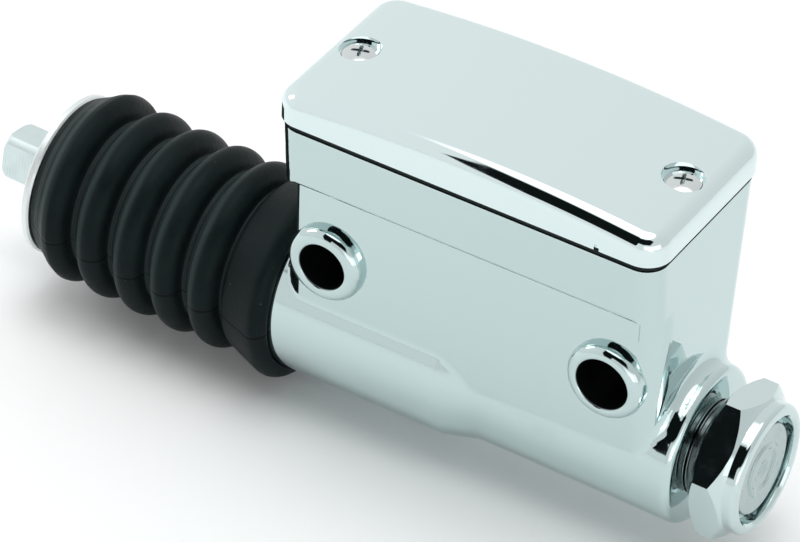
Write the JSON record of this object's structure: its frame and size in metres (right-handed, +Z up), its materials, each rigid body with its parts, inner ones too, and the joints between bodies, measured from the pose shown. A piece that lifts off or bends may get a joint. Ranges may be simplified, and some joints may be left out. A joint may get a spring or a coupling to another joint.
{
  "type": "brake master cylinder",
  "caption": "Chromed rear brake master cylinder with a rectangular screwed-down reservoir, bellows boot over a sprung pushrod, through mounting bosses and a large nut.",
  "frame": {"origin": "where the cylinder axis meets the body's end face on the nut side", "axes": "+X along the cylinder axis, out through the nut; +Z up towards the reservoir cover; -Y out of the mounting boss faces"},
  "size_m": [0.1789, 0.0432, 0.0851],
  "materials": {
    "chromed_casting": "bright chrome plate",
    "chromed_cover": "bright chrome plate",
    "black_rubber": "matte",
    "bright_screw": "polished",
    "machined_steel": "turned, zinc plated",
    "chromed_nut": "bright chrome plate",
    "plug_metal": "pressed, satin",
    "anodised_aluminium": "turned, clear anodised",
    "spring_steel": "drawn wire",
    "cup_rubber": "smooth",
    "ring_steel": "oil blackened",
    "rod_steel": "milled and turned, zinc plated",
    "plate_zinc": "zinc plated, satin",
    "boot_rubber": "matte moulded"
  },
  "bodies": {
    "body": {"reservoir_body": "chromed_casting", "cartridge_sleeve": "machined_steel", "sleeve_o_rings": "black_rubber", "stop_washer": "spring_steel", "retaining_ring": "ring_steel", "boot": "boot_rubber", "piston_return_spring": "spring_steel", "pushrod_spring": "spring_steel"},
    "piston_unit": {"piston": "anodised_aluminium", "cup_backing_washer": "spring_steel", "primary_cup": "cup_rubber", "secondary_cup": "cup_rubber", "spring_retainer": "spring_steel"},
    "plate_unit": {"boot_plate": "plate_zinc"},
    "pushrod_unit": {"pushrod": "rod_steel"},
    "nut": {"mounting_nut": "chromed_nut"},
    "plug": {"outlet_dust_plug": "plug_metal"},
    "cover": {"reservoir_cover": "chromed_cover", "cover_diaphragm": "black_rubber"},
    "screws": {"cover_screws": "bright_screw"}
  },
  "joints": [
    {"name": "piston_stroke", "type": "slide", "parent": "body", "child": "piston_unit", "axis": [1, 0, 0], "range_m": [0, 0.015], "stiffness_N_per_m": 1500, "springref_m": -0.008, "deforming": ["piston_return_spring", "pushrod_spring", "boot"]},
    {"name": "pushrod_swivel", "type": "hinge", "parent": "piston_unit", "child": "plate_unit", "pos_m": [-0.0886, 0, 0], "axis": [0, 1, 0], "range_deg": [-3, 2], "stiffness_Nm_per_rad": 2},
    {"name": "pushrod_spin", "type": "hinge", "parent": "plate_unit", "child": "pushrod_unit", "pos_m": [-0.0886, 0, 0], "axis": [-0.9998, 0, 0.0201], "continuous": true},
    {"name": "nut_turn", "type": "hinge", "parent": "body", "child": "nut", "pos_m": [0, 0, 0], "axis": [1, 0, 0], "continuous": true},
    {"name": "plug_pull", "type": "slide", "parent": "body", "child": "plug", "axis": [1, 0, 0], "range_m": [0, 0.012]},
    {"name": "cover_lift", "type": "slide", "parent": "body", "child": "cover", "axis": [0, 0, 1], "range_m": [0, 0.03]},
    {"name": "screws_out", "type": "slide", "parent": "cover", "child": "screws", "axis": [0, 0, 1], "range_m": [0, 0.014]}
  ]
}
